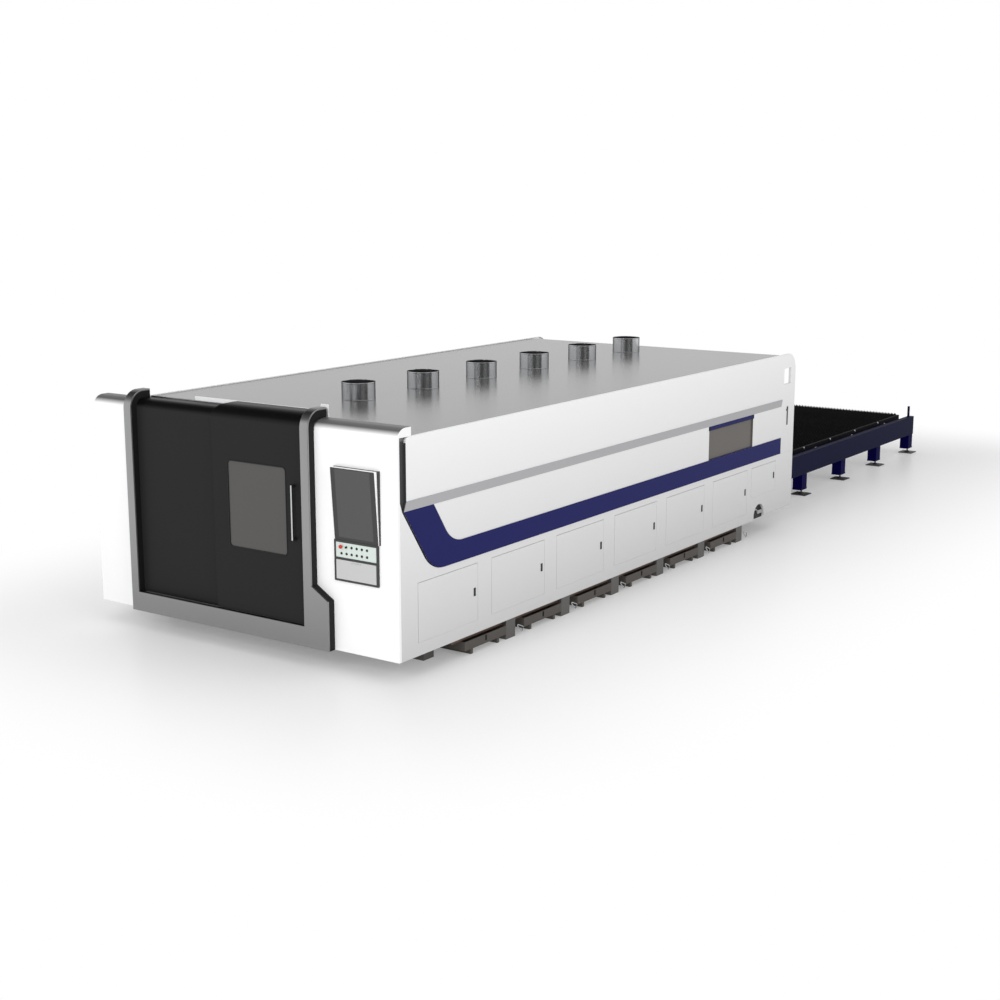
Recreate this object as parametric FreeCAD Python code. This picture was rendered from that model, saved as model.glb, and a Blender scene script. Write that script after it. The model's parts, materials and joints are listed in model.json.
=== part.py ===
import FreeCAD, Part
import math
import os
from FreeCAD import Vector

# Sheet laser cutting machine with a closed cabin and an exchange table behind it.
# Millimetres. X runs across the machine, Y from the operator's side to the loading end, Z up.
# While it is built, X = 0 is the middle, Y = 0 the face of the front panels and Z = 0 the floor.

# ---------------------------------------------------------------- cabin
cabin_half_width = 2150
skirt_height = 220
roof_top = 2470
roof_thickness = 30
panel_thickness = 40
front_panel_top = 2575
front_cap_back = 230
rear_wall_face = 8880
fin_end = 9290
fin_corner = 240
fin_foot_height = 240
fin_foot_corner = 80
notch_start = 8045
notch_length = 335
notch_top = 430
notch_corner = 160
slot_start = 8912
slot_length = 232
slot_bottom = 2050
slot_height = 228
fin_latch_start = 9034
fin_latch_width = 34
fin_latch_bottom = 1455
fin_latch_top = 1722

# ---------------------------------------------------------------- side cladding, flush with the skirt
cladding_depth = 30
cladding_skin = 6
cladding_top = 2480
cladding_front = 140
cladding_front_corner = 60
cladding_shoulder = 1840
cladding_elbow = 97
cladding_knee = 1742
cladding_heel = 560
cladding_bottom = 1060
cladding_sweep = 390
channel_width = 24
trim_depth = 6
trim_end = 8855
stripe_height = 98
stripe_tip = 17
stripe_slant = 38
band_height = 230
band_start_width = 483
band_sweep = 350

# ---------------------------------------------------------------- side window
window_start = 6610
window_length = 1320
window_height = 400
window_glass = 10
window_glass_set_back = 20
window_hood_height = 50
window_hood_overhang = 10

# ---------------------------------------------------------------- service doors in the skirt
door_count = 7
door_first = 310
door_pitch = 1291
door_width = 1040
last_door_start = 7932
last_door_width = 790
last_door_lift = 208
door_bottom = 355
door_top = 980
door_gap = 4
seat_gap = 0.3
latch_width = 36
latch_height = 90
latch_inset = 45
latch_top = 720

# ---------------------------------------------------------------- front portal
portal_left = -1552
portal_right = 1098
portal_foot_right = 1317
opening_left = -1446
opening_right = 991
sill_top = 440
portal_foot_top = 746
portal_shoulder = 880
portal_face = 20
portal_depth = 80
hook_centre_y = 90
hook_centre_z = 2490
portal_hook_back = 200

# ---------------------------------------------------------------- sliding front door
leaf_thickness = 40
leaf_set_back = 20
leaf_gap = 10
leaf_split = -270
leaf_overlap = 40
leaf_side_gap = 3
leaf_hook_back = 230
leaf_top_corner = 120
door_rail_height = 6
door_rail_width = 16
header_front = 130
header_depth = 120
top_rail_back = 230
top_rail_width = 20
header_cover_left = -790
header_cover_width = 18
header_end_right = 1090
header_end_top = 2700
leaf_window_left = -64
leaf_window_right = 758
leaf_window_bottom = 1134
leaf_window_top = 2070
leaf_window_corner = 50
leaf_window_glass = 8
handle_x = 860
handle_bottom = 1325
handle_top = 1907
handle_bar = 32
handle_bar_depth = 18
handle_standoff = 42

# ---------------------------------------------------------------- control console
console_left = 1350
console_right = 1915
console_bottom = 968
console_split = 1395
console_top = 2140
bezel_depth = 25
bezel_border = 22
keypad_bottom = 1215
keypad_height = 155
keypad_depth = 20
monitor_shift = 10
monitor_foot = 20
monitor_lean = 74
monitor_back_foot = 8
monitor_back_lean = 34
screen_depth = 6
wedge_reach = 12
flap_thickness = 16
flap_gap = 3
button_radius = 14
button_height = 6
button_sides = 6
button_columns = 6
button_pitch = 66
button_first = 72
button_row_low = 42
button_row_high = 112
knob_sides = 8
stop_radius = 20
stop_stem_radius = 9
stop_cap = 14
stop_travel = 6
key_radius = 11
key_height = 12
key_grip_width = 8

# ---------------------------------------------------------------- exhaust collars on the roof
duct_count = 6
duct_first = 2030
duct_pitch = 1218
duct_radius = 195
duct_wall = 6
duct_height = 200
duct_bore_sides = 8

# ---------------------------------------------------------------- bed
bed_start = 500
track_half_gap = 1425
beam_width = 440
beam_wall = 20
beam_top = 1000
beam_window_margin = 60
plinth_pitch = 1126
plinth_first = 1980
plinth_count = 6
plinth_width = 180
plinth_inner = 1480
plinth_set_back = 10
bow_bar = 14
cross_tube_width = 100
cross_tube_height = 80
cross_tube_lift = 20
cross_tube_wall = 8
guide_rail_width = 46
guide_rail_height = 40
guide_rail_centre = 1645
rail_end_margin = 50
rack_width = 30
rack_height = 30
rack_offset = 75

# ---------------------------------------------------------------- slag drawers
drawer_gap = 0.3
bow_space = 176
drawer_inner_end = -1400
drawer_wall = 8
drawer_bottom = 60
drawer_top = 160
runner_width = 40
runner_inset = 120
drawer_tab_width = 16
drawer_tab_height = 60

# ---------------------------------------------------------------- sheet pallets
pallet_length = 6050
pallet_inner_start = 1550
pallet_travel = 8090
pallet_half_width = 1380
pallet_side_tube = 40
pallet_tube_height = 125
pallet_cross_width = 60
pallet_cross_height = 60
pallet_cross_count = 4
lower_pallet_base = 350
pallet_level_step = 240
wheel_radius = 40
wheel_width = 30
wheel_count = 4
wheel_sides = 6
slat_count = 15
slat_thickness = 6
slat_height = 95
slat_tooth_depth = 35
slat_teeth = 5
slat_end_gap = 0.3
track_leg = 45
track_height = 60
track_thickness = 12

# ---------------------------------------------------------------- gantry and cutting head
gantry_start = 1600
gantry_half_span = 1840
gantry_bottom = 1140
gantry_height = 300
gantry_width = 300
gantry_wall = 12
carriage_half_length = 280
carriage_half_width = 90
bearing_length = 100
bearing_depth = 28
bearing_half_width = 50
cross_rail_half_length = 1500
cross_rail_width = 30
cross_rail_height = 25
cross_rail_low = 1185
cross_rail_high = 1380
saddle_half_width = 130
saddle_standoff = 30
saddle_margin = 35
head_half_width = 90
head_depth = 110
head_bottom = 1180
head_top = 1560
torch_radius = 45
torch_bottom = 960
nozzle_radius = 14
nozzle_tip = 870
torch_sides = 6

# ---------------------------------------------------------------- exchange table
table_end = 16050
table_beam_width = 105
table_beam_bottom = 330
table_beam_top = 660
table_beam_wall = 10
leg_count = 5
leg_pitch = 1575
leg_length = 190
leg_width = 160
leg_bottom = 80
leg_flare = 15
leg_flare_height = 40
leg_end_inset = 30
table_cross_width = 100
table_cross_height = 60
foot_pad = 250
foot_pad_height = 15
foot_inset = 50
bell_width = 110
bell_height = 25
foot_bolt_width = 30
post_radius = 25
post_height = 195
post_inset_end = 150

leaf_reach = portal_depth - leaf_set_back
front_reach = leaf_reach + handle_standoff + handle_bar_depth
middle_y = (table_end - front_reach) / 2

os.makedirs("parts", exist_ok=True)


right = Vector(1, 0, 0)
forward = Vector(0, -1, 0)
upward = Vector(0, 0, 1)


def save(name, shape):
    """Write one sub-part, with the origin on the floor midway along the machine."""
    placed = shape.copy()
    placed.translate(Vector(0, -middle_y, 0))
    placed.exportStep("parts/" + name + ".step")


def block(x, y, z):
    """Block between the pairs of limits x, y and z."""
    return Part.makeBox(x[1] - x[0], y[1] - y[0], z[1] - z[0], Vector(x[0], y[0], z[0]))


def joined(shapes):
    """One solid from touching shapes."""
    return shapes[0].fuse(shapes[1:]).removeSplitter()


def group(shapes):
    """Separate solids in one sub-part."""
    return Part.makeCompound(shapes)


def other_side(shape):
    """The same piece on the left of the machine."""
    return shape.mirror(Vector(0, 0, 0), Vector(1, 0, 0))


def side_view(x):
    """Places outline points (y, z) in the plane at x."""
    return lambda u, v: Vector(x, u, v)


def front_view(y):
    """Places outline points (x, z) in the plane at y."""
    return lambda u, v: Vector(u, y, v)


def outline(corners, place):
    """Closed wire through corners (u, v, radius), rounded where the radius isn't 0."""
    arcs = []
    for index, (u, v, radius) in enumerate(corners):
        here = Vector(u, v, 0)
        before = corners[index - 1]
        after = corners[(index + 1) % len(corners)]
        back = (Vector(before[0], before[1], 0) - here).normalize()
        ahead = (Vector(after[0], after[1], 0) - here).normalize()
        half = back.getAngle(ahead) / 2
        reach = radius / math.tan(half)
        centre = here + (back + ahead).normalize() * (radius / math.sin(half))
        middle = centre + (here - centre).normalize() * radius if radius else here
        arcs.append((here + back * reach, middle, here + ahead * reach, radius))
    edges = []
    for index, (start, middle, end, radius) in enumerate(arcs):
        if radius:
            through = [place(point.x, point.y) for point in (start, middle, end)]
            edges.append(Part.Arc(*through).toShape())
        following = arcs[(index + 1) % len(arcs)][0]
        if (following - end).Length > 1e-6:
            edges.append(Part.makeLine(place(end.x, end.y), place(following.x, following.y)))
    return Part.Wire(edges)


def slab(corners, place, thrust):
    """Plate of the given outline, pushed out along the vector thrust."""
    return Part.Face(outline(corners, place)).extrude(thrust)


def ring_of(sides, radius, centre, along):
    """Regular polygon of that many sides round the axis along."""
    corners = []
    for step in range(sides):
        angle = 2 * math.pi * (step + 0.5) / sides
        corners.append(Vector(radius * math.cos(angle), radius * math.sin(angle), 0))
    ring = Part.makePolygon(corners + corners[:1])
    ring.Placement = FreeCAD.Placement(centre, FreeCAD.Rotation(upward, along))
    return ring


def prism(sides, radius, start, along):
    """Bar with a regular polygon as its section, from the point start along a vector."""
    return Part.Face(ring_of(sides, radius, start, along)).extrude(along)


def rectangle(u, v, radius):
    """Corners of a rectangle between the limits u and v."""
    return [(u[0], v[0], radius), (u[1], v[0], radius), (u[1], v[1], radius), (u[0], v[1], radius)]


# ================================================================ bed
def door_limits(index):
    """Start and end of a service door's opening along Y."""
    if index == door_count - 1:
        return last_door_start, last_door_start + last_door_width
    start = door_first + door_pitch * index
    return start, start + door_width


def door_heights(index):
    """Bottom and top of a service door's opening; the last one clears the notch."""
    lift = last_door_lift if index == door_count - 1 else 0
    return door_bottom + lift, door_top


beam_outer = track_half_gap + beam_width
bed_end = rear_wall_face - panel_thickness - panel_thickness


def bed_beam():
    """Welded box beam with a hand window behind each service door."""
    shell = block((track_half_gap, beam_outer), (bed_start, bed_end), (skirt_height, beam_top))
    inside = block(
        (track_half_gap + beam_wall, beam_outer - beam_wall),
        (bed_start + beam_wall, bed_end - beam_wall),
        (skirt_height + beam_wall, beam_top - beam_wall),
    )
    beam = shell.cut(inside)
    for index in range(door_count):
        start, end = door_limits(index)
        low, high = door_heights(index)
        opening = block(
            (beam_outer - 2 * beam_wall, beam_outer + beam_wall),
            (max(start, bed_start) + beam_window_margin, min(end, bed_end) - beam_window_margin),
            (low + beam_window_margin, high - beam_window_margin),
        )
        beam = beam.cut(opening)
    return beam


right_beam = bed_beam()
save("bed_right_beam", right_beam)
save("bed_left_beam", other_side(right_beam))


def plinth_centre(index):
    return plinth_first + plinth_pitch * index


def tube_across(half_length, centre_y, width, bottom, height, wall):
    """Rectangular tube along X."""
    length = (-half_length, half_length)
    near = centre_y - width / 2
    outer = block(length, (near, near + width), (bottom, bottom + height))
    bore = block(length, (near + wall, near + width - wall), (bottom + wall, bottom + height - wall))
    return outer.cut(bore)


cross_tubes = [
    tube_across(
        track_half_gap,
        plinth_centre(index),
        cross_tube_width,
        skirt_height + cross_tube_lift,
        cross_tube_height,
        cross_tube_wall,
    )
    for index in range(-1, plinth_count, 2)
]
save("bed_cross_tubes", group(cross_tubes))


def plinth(index):
    """Foot block under the bed beam; those beside the drawers reach out and carry a bow."""
    centre = plinth_centre(index)
    reach = cabin_half_width - plinth_set_back if index >= 0 else beam_outer
    edge = centre + plinth_width / 2
    foot = block((plinth_inner, reach), (edge - plinth_width, edge), (0, skirt_height))
    if index < 0:
        return foot
    outer = [(edge - 25, 150, 0), (edge + 125, 12, 0), (edge + 155, 80, 0)]
    inner = [(edge + 25, 125, 0), (edge + 119, 38, 0), (edge + 135, 76, 0)]
    bow = slab(outer, side_view(reach), right * bow_bar)
    gap = slab(inner, side_view(reach), right * bow_bar)
    return joined([foot, bow.cut(gap)])


right_plinths = [plinth(index) for index in range(-1, plinth_count)]
left_plinths = [other_side(foot) for foot in right_plinths]
save("bed_plinths", group(right_plinths + left_plinths))

rail_span = (bed_start + rail_end_margin, bed_end - rail_end_margin)
guide_rail = block(
    (guide_rail_centre - guide_rail_width / 2, guide_rail_centre + guide_rail_width / 2),
    rail_span,
    (beam_top, beam_top + guide_rail_height),
)
save("bed_guide_rails", group([guide_rail, other_side(guide_rail)]))

gear_rack = block(
    (guide_rail_centre - rack_offset - rack_width, guide_rail_centre - rack_offset),
    rail_span,
    (beam_top, beam_top + rack_height),
)
save("bed_gear_racks", group([gear_rack, other_side(gear_rack)]))

# ================================================================ pallet tracks
upper_pallet_base = lower_pallet_base + pallet_level_step


def track(y, pallet_base):
    """Angle bar that the pallet's wheels roll on."""
    top = pallet_base - seat_gap
    leg = block((track_half_gap - track_leg, track_half_gap), y, (top - track_thickness, top))
    back = block((track_half_gap - track_thickness, track_half_gap), y, (top, top + track_height))
    return joined([leg, back])


tracks = []
for pallet_base in (lower_pallet_base, upper_pallet_base):
    for span in ((bed_start, rear_wall_face), (rear_wall_face, table_end)):
        bar = track(span, pallet_base)
        tracks += [bar, other_side(bar)]
save("pallet_tracks", group(tracks))


# ================================================================ pallets
def pallet_frame(start, base):
    """Welded pallet frame with its running wheels."""
    half_inside = pallet_half_width - pallet_side_tube
    length = (start, start + pallet_length)
    side = block((half_inside, pallet_half_width), length, (base, base + pallet_tube_height))
    pieces = [side, other_side(side)]
    step = (pallet_length - pallet_cross_width) / (pallet_cross_count - 1)
    for index in range(pallet_cross_count):
        near = start + step * index
        span = (near, near + pallet_cross_width)
        pieces.append(block((-half_inside, half_inside), span, (base, base + pallet_cross_height)))
    wheel_step = pallet_length / wheel_count
    wheel_flat = wheel_radius * math.cos(math.pi / wheel_sides)
    for index in range(wheel_count):
        axle = Vector(pallet_half_width, start + wheel_step * (index + 0.5), base + wheel_flat)
        wheel = prism(wheel_sides, wheel_radius, axle, right * wheel_width)
        pieces += [wheel, other_side(wheel)]
    return joined(pieces)


def slat(centre_y, base):
    """Toothed support slat that stands across the pallet."""
    half_length = pallet_half_width - pallet_side_tube - slat_end_gap
    tooth = 2 * half_length / slat_teeth
    foot = base + pallet_cross_height
    tip = foot + slat_height
    root = tip - slat_tooth_depth
    corners = [(half_length, foot, 0), (-half_length, foot, 0)]
    for index in range(slat_teeth):
        corners.append((-half_length + tooth * index, root, 0))
        corners.append((-half_length + tooth * (index + 0.5), tip, 0))
    corners.append((half_length, root, 0))
    return slab(corners, front_view(centre_y - slat_thickness / 2), Vector(0, slat_thickness, 0))


def pallet_slats(start, base):
    first = start + pallet_cross_width / 2
    step = (pallet_length - pallet_cross_width) / (slat_count - 1)
    return group([slat(first + step * index, base) for index in range(slat_count)])


outer_start = pallet_inner_start + pallet_travel
save("upper_pallet_frame", pallet_frame(outer_start, upper_pallet_base))
save("upper_pallet_slats", pallet_slats(outer_start, upper_pallet_base))
save("lower_pallet_frame", pallet_frame(pallet_inner_start, lower_pallet_base))
save("lower_pallet_slats", pallet_slats(pallet_inner_start, lower_pallet_base))


# ================================================================ slag drawers
def drawer(index):
    """Low tray on two runners that pulls out between two plinths."""
    near = plinth_centre(index - 1) + plinth_width / 2 + bow_space
    far = plinth_centre(index) - plinth_width / 2 - drawer_gap
    middle = (near + far) / 2
    front = cabin_half_width - plinth_set_back
    tray = block((drawer_inner_end, front), (near, far), (drawer_bottom, drawer_top))
    inside = block(
        (drawer_inner_end + drawer_wall, front - drawer_wall),
        (near + drawer_wall, far - drawer_wall),
        (drawer_bottom + drawer_wall, drawer_top),
    )
    pieces = [tray.cut(inside)]
    for left in (near + runner_inset, far - runner_inset - runner_width):
        span = (left, left + runner_width)
        pieces.append(block((drawer_inner_end, front - drawer_wall), span, (0, drawer_bottom)))
    tab_top = drawer_top - drawer_wall
    pieces.append(
        block(
            (front, front + trim_depth),
            (middle - drawer_tab_width / 2, middle + drawer_tab_width / 2),
            (tab_top - drawer_tab_height, tab_top),
        )
    )
    return joined(pieces)


for index in range(plinth_count):
    save("slag_drawer_" + str(index + 1), drawer(index))

# ================================================================ gantry
carriage_bottom = beam_top + bearing_depth + guide_rail_height / 2 + 20
bearing_bottom = beam_top + guide_rail_height / 2 - 8


def bearing(centre_y):
    """Bearing block that straddles a bed rail with a running gap."""
    body = block(
        (guide_rail_centre - bearing_half_width, guide_rail_centre + bearing_half_width),
        (centre_y - bearing_length / 2, centre_y + bearing_length / 2),
        (bearing_bottom, carriage_bottom),
    )
    groove_half = guide_rail_width / 2 + seat_gap
    groove = block(
        (guide_rail_centre - groove_half, guide_rail_centre + groove_half),
        (centre_y - bearing_length / 2, centre_y + bearing_length / 2),
        (bearing_bottom, beam_top + guide_rail_height + seat_gap),
    )
    return body.cut(groove)


def end_carriage():
    """Carriage plate with two bearing blocks under one end of the gantry."""
    plate = block(
        (guide_rail_centre - carriage_half_width, guide_rail_centre + carriage_half_width),
        (gantry_start - carriage_half_length, gantry_start + carriage_half_length),
        (carriage_bottom, gantry_bottom),
    )
    offset = carriage_half_length - bearing_length / 2
    return joined([plate, bearing(gantry_start - offset), bearing(gantry_start + offset)])


gantry_front = gantry_start - gantry_width / 2
gantry_back = gantry_start + gantry_width / 2
gantry_top = gantry_bottom + gantry_height
gantry_span = (-gantry_half_span, gantry_half_span)
gantry_tube = block(gantry_span, (gantry_front, gantry_back), (gantry_bottom, gantry_top))
gantry_bore = block(
    (-gantry_half_span + gantry_wall, gantry_half_span - gantry_wall),
    (gantry_front + gantry_wall, gantry_back - gantry_wall),
    (gantry_bottom + gantry_wall, gantry_top - gantry_wall),
)
right_carriage = end_carriage()
save("gantry_beam", joined([gantry_tube.cut(gantry_bore), right_carriage, other_side(right_carriage)]))

cross_rail_front = gantry_front - cross_rail_height
cross_rails = [
    block(
        (-cross_rail_half_length, cross_rail_half_length),
        (cross_rail_front, gantry_front),
        (level - cross_rail_width / 2, level + cross_rail_width / 2),
    )
    for level in (cross_rail_low, cross_rail_high)
]
save("gantry_cross_rails", group(cross_rails))

saddle_back = cross_rail_front - seat_gap
saddle_front = saddle_back - saddle_standoff


def saddle():
    """Plate on four runners that rides on the gantry's two rails."""
    width = (-saddle_half_width, saddle_half_width)
    low = cross_rail_low - saddle_margin
    high = cross_rail_high + saddle_margin
    plate = block(width, (saddle_front, saddle_back), (low, high))
    pieces = [plate]
    for level in (cross_rail_low, cross_rail_high):
        inner_edge = level + cross_rail_width / 2 + seat_gap
        outer_edge = level - cross_rail_width / 2 - seat_gap
        lip = cross_rail_height / 2
        for bottom, top in ((inner_edge, inner_edge + lip), (outer_edge - lip, outer_edge)):
            pieces.append(block(width, (saddle_back, saddle_back + lip), (bottom, top)))
    return joined(pieces)


save("head_saddle", saddle())

head_back = saddle_front - seat_gap
head_middle = head_back - head_depth / 2
head_width = (-head_half_width, head_half_width)
head_case = block(head_width, (head_back - head_depth, head_back), (head_bottom, head_top))
torch_foot = Vector(0, head_middle, torch_bottom)
barrel = prism(torch_sides, torch_radius, torch_foot, upward * (head_bottom - torch_bottom))
nozzle = Part.makeLoft(
    [
        ring_of(torch_sides, torch_radius, torch_foot, upward),
        ring_of(torch_sides, nozzle_radius, Vector(0, head_middle, nozzle_tip), upward),
    ],
    True,
    True,
)
save("cutting_head", joined([head_case, barrel, nozzle]))

# ================================================================ side walls
side_inner = cabin_half_width - panel_thickness
cladding_back = cabin_half_width - cladding_depth
wall_top = roof_top - roof_thickness
window_bottom = cladding_bottom + band_height
window_limits = ((window_start, window_start + window_length), (window_bottom, window_bottom + window_height))
slot_limits = ((slot_start, slot_start + slot_length), (slot_bottom, slot_bottom + slot_height))


def through_side(corners):
    """Cutter that goes through the side wall and its cladding."""
    return slab(corners, side_view(side_inner - 1), right * (panel_thickness + 2))


def side_panel(has_openings):
    """Side wall, recessed for its cladding, with the notch and the fin that runs past the rear wall."""
    corners = [
        (panel_thickness, skirt_height, 0),
        (notch_start, skirt_height, 0),
        (notch_start, notch_top, notch_corner),
        (notch_start + notch_length, notch_top, notch_corner),
        (notch_start + notch_length, fin_foot_height, 0),
        (fin_end, fin_foot_height, fin_foot_corner),
        (fin_end, wall_top, fin_corner),
        (panel_thickness, wall_top, 0),
    ]
    recess = [
        (panel_thickness - 1, wall_top + 1, 0),
        (panel_thickness - 1, cladding_shoulder, 0),
        (cladding_elbow - channel_width, cladding_knee, 0),
        (cladding_heel - channel_width, cladding_bottom, cladding_sweep),
        (fin_end + 1, cladding_bottom, 0),
        (fin_end + 1, wall_top + 1, 0),
    ]
    wall = slab(corners, side_view(side_inner), right * panel_thickness)
    wall = wall.cut(slab(recess, side_view(cladding_back), right * (cladding_depth + 1)))
    wall = wall.cut(through_side(rectangle(*slot_limits, 0)))
    if has_openings:
        wall = wall.cut(through_side(rectangle(*window_limits, 0)))
        for index in range(door_count):
            wall = wall.cut(through_side(rectangle(door_limits(index), door_heights(index), 0)))
    return wall


save("right_side_panel", side_panel(True))
save("left_side_panel", other_side(side_panel(False)))


def cladding_corners(inset):
    """Outline of the cladding, drawn in by inset."""
    return [
        (cladding_front + inset, cladding_top - inset, cladding_front_corner),
        (cladding_front + inset, cladding_shoulder, 0),
        (cladding_elbow + inset, cladding_knee, 0),
        (cladding_heel + inset / 2, cladding_bottom + inset, cladding_sweep - inset),
        (fin_end - inset, cladding_bottom + inset, 0),
        (fin_end - inset, cladding_top - inset, fin_corner - inset),
    ]


def cladding(has_window):
    """Folded outer cladding, hollow behind, with a collar round each opening."""
    place = side_view(cladding_back)
    shell = slab(cladding_corners(0), place, right * cladding_depth)
    hollow = slab(cladding_corners(cladding_skin), place, right * (cladding_depth - cladding_skin))
    openings = [slot_limits, window_limits] if has_window else [slot_limits]
    for limits in openings:
        collar = [(low - cladding_skin, high + cladding_skin) for low, high in limits]
        hollow = hollow.cut(slab(rectangle(*collar, 0), place, right * cladding_depth))
    return shell.cut(hollow).cut([through_side(rectangle(*limits, 0)) for limits in openings])


save("right_cladding", cladding(True))
save("left_cladding", other_side(cladding(False)))

stripe_top = cladding_knee + stripe_height
stripe = slab(
    [
        (cladding_elbow, cladding_knee, 0),
        (trim_end + stripe_tip - stripe_slant, cladding_knee, 0),
        (trim_end + stripe_tip, stripe_top, 0),
        (cladding_front, stripe_top, 0),
    ],
    side_view(cabin_half_width),
    right * trim_depth,
)
save("side_stripes", group([stripe, other_side(stripe)]))

knee_drop = cladding_knee - cladding_bottom
knee_slope = (cladding_heel - cladding_elbow) / knee_drop
band_heel = cladding_elbow + band_start_width + knee_slope * (knee_drop - band_height)
band = slab(
    [
        (cladding_elbow, cladding_knee, 0),
        (cladding_heel, cladding_bottom, cladding_sweep),
        (trim_end, cladding_bottom, 0),
        (trim_end, cladding_bottom + band_height, 0),
        (band_heel, cladding_bottom + band_height, band_sweep),
        (cladding_elbow + band_start_width, cladding_knee, 0),
    ],
    side_view(cabin_half_width),
    right * trim_depth,
)
save("side_bands", group([band, other_side(band)]))

glass_outer = cabin_half_width - window_glass_set_back
save("side_window", block((glass_outer - window_glass, glass_outer), *window_limits))

trim_x = (cabin_half_width, cabin_half_width + trim_depth)
hood_bottom = window_limits[1][1]
save(
    "side_window_hood",
    block(
        trim_x,
        (window_limits[0][0] - window_hood_overhang, window_limits[0][1] + window_hood_overhang),
        (hood_bottom, hood_bottom + window_hood_height),
    ),
)

fin_latch_span = (fin_latch_start, fin_latch_start + fin_latch_width)
save("fin_latch", block(trim_x, fin_latch_span, (fin_latch_bottom, fin_latch_top)))


# ================================================================ service doors
def service_door(index):
    """Flush door with a small latch beside its far edge."""
    start, end = door_limits(index)
    low, high = door_heights(index)
    leaf = block(
        (side_inner, cabin_half_width), (start + door_gap, end - door_gap), (low + seat_gap, high - door_gap)
    )
    far = end - latch_inset
    top = latch_top + (low - door_bottom) / 2
    latch = block(trim_x, (far - latch_width, far), (top - latch_height, top))
    return joined([leaf, latch])


for index in range(door_count):
    save("service_door_" + str(index + 1), service_door(index))


# ================================================================ front panels and portal
def front_panel(x):
    """Panel that bends back at its top into a closed cap, which lies on the cladding's upper edge."""
    corners = [
        (0, skirt_height, 0),
        (0, front_panel_top, front_panel_top - wall_top),
        (front_cap_back, front_panel_top, 0),
        (front_cap_back, cladding_top, 0),
        (panel_thickness, cladding_top, 0),
        (panel_thickness, skirt_height, 0),
    ]
    return slab(corners, side_view(x[0]), right * (x[1] - x[0]))


save("front_left_panel", front_panel((-cabin_half_width, opening_left)))
save("front_right_panel", front_panel((opening_right, cabin_half_width)))


def hook_corners(outer_radius, thickness, back, foot):
    """Side profile of a leaf or post that bends back over the roof round the common centre."""
    face = hook_centre_y - outer_radius
    top = hook_centre_z + outer_radius
    inner_radius = outer_radius - thickness
    return [
        (face, foot, 0),
        (face, top, outer_radius),
        (back, top, 0),
        (back, top - thickness, 0),
        (face + thickness, top - thickness, inner_radius),
        (face + thickness, foot, 0),
    ]


def hooked(x, outer_radius, thickness, back, foot):
    return slab(hook_corners(outer_radius, thickness, back, foot), side_view(x[0]), right * (x[1] - x[0]))


def portal(outer_radius, thickness):
    """Posts, foot and sill of the portal, one layer thick."""
    face = hook_centre_y - outer_radius
    corners = [
        (portal_left, skirt_height, 0),
        (portal_foot_right, skirt_height, 0),
        (portal_foot_right, portal_foot_top, 0),
        (portal_right, portal_shoulder, 0),
        (portal_right, hook_centre_z, 0),
        (opening_right, hook_centre_z, 0),
        (opening_right, sill_top, 0),
        (opening_left, sill_top, 0),
        (opening_left, hook_centre_z, 0),
        (portal_left, hook_centre_z, 0),
    ]
    frame = slab(corners, front_view(face), Vector(0, thickness, 0))
    posts = [
        hooked(x, outer_radius, thickness, portal_hook_back, hook_centre_z)
        for x in ((portal_left, opening_left), (opening_right, portal_right))
    ]
    return joined([frame] + posts)


core_radius = hook_centre_y + portal_depth
save("portal_face", portal(core_radius + portal_face, portal_face))
sill = block((opening_left, opening_right), (0, panel_thickness), (skirt_height, sill_top))
save("portal_core", joined([portal(core_radius, portal_depth), sill]))

# ================================================================ sliding door
moving_radius = core_radius - leaf_set_back
fixed_radius = moving_radius - leaf_thickness - leaf_gap
moving_face = hook_centre_y - moving_radius
rail_top = sill_top + door_rail_height
moving_limits = (leaf_split, opening_right - leaf_side_gap)

moving_leaf = hooked(moving_limits, moving_radius, leaf_thickness, leaf_hook_back, rail_top + seat_gap)
corner_x = leaf_split + leaf_top_corner
corner_z = hook_centre_z + moving_radius - leaf_top_corner
corner_heights = (corner_z, corner_z + leaf_top_corner)
corner_waste = block((leaf_split, corner_x), (moving_face, leaf_hook_back), corner_heights)
corner_round = Part.makeCylinder(
    leaf_top_corner, leaf_hook_back - moving_face, Vector(corner_x, moving_face, corner_z), Vector(0, 1, 0)
)
leaf_window = rectangle(
    (leaf_window_left, leaf_window_right), (leaf_window_bottom, leaf_window_top), leaf_window_corner
)
window_cut = slab(leaf_window, front_view(moving_face), Vector(0, leaf_thickness, 0))
save("front_door", moving_leaf.cut([corner_waste.cut(corner_round), window_cut]))
glass_face = moving_face + leaf_window_glass
save("front_door_window", slab(leaf_window, front_view(glass_face), Vector(0, leaf_window_glass, 0)))

bar_x = (handle_x, handle_x + handle_bar)
bar_back = moving_face - handle_standoff
handle_pieces = [block(bar_x, (bar_back - handle_bar_depth, bar_back), (handle_bottom, handle_top))]
for bottom in (handle_bottom, handle_top - handle_bar):
    handle_pieces.append(block(bar_x, (bar_back, moving_face), (bottom, bottom + handle_bar)))
save("front_door_handle", joined(handle_pieces))

fixed_limits = (opening_left, leaf_split + leaf_overlap)
save("front_fixed_leaf", hooked(fixed_limits, fixed_radius, leaf_thickness, portal_hook_back, sill_top))

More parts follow.
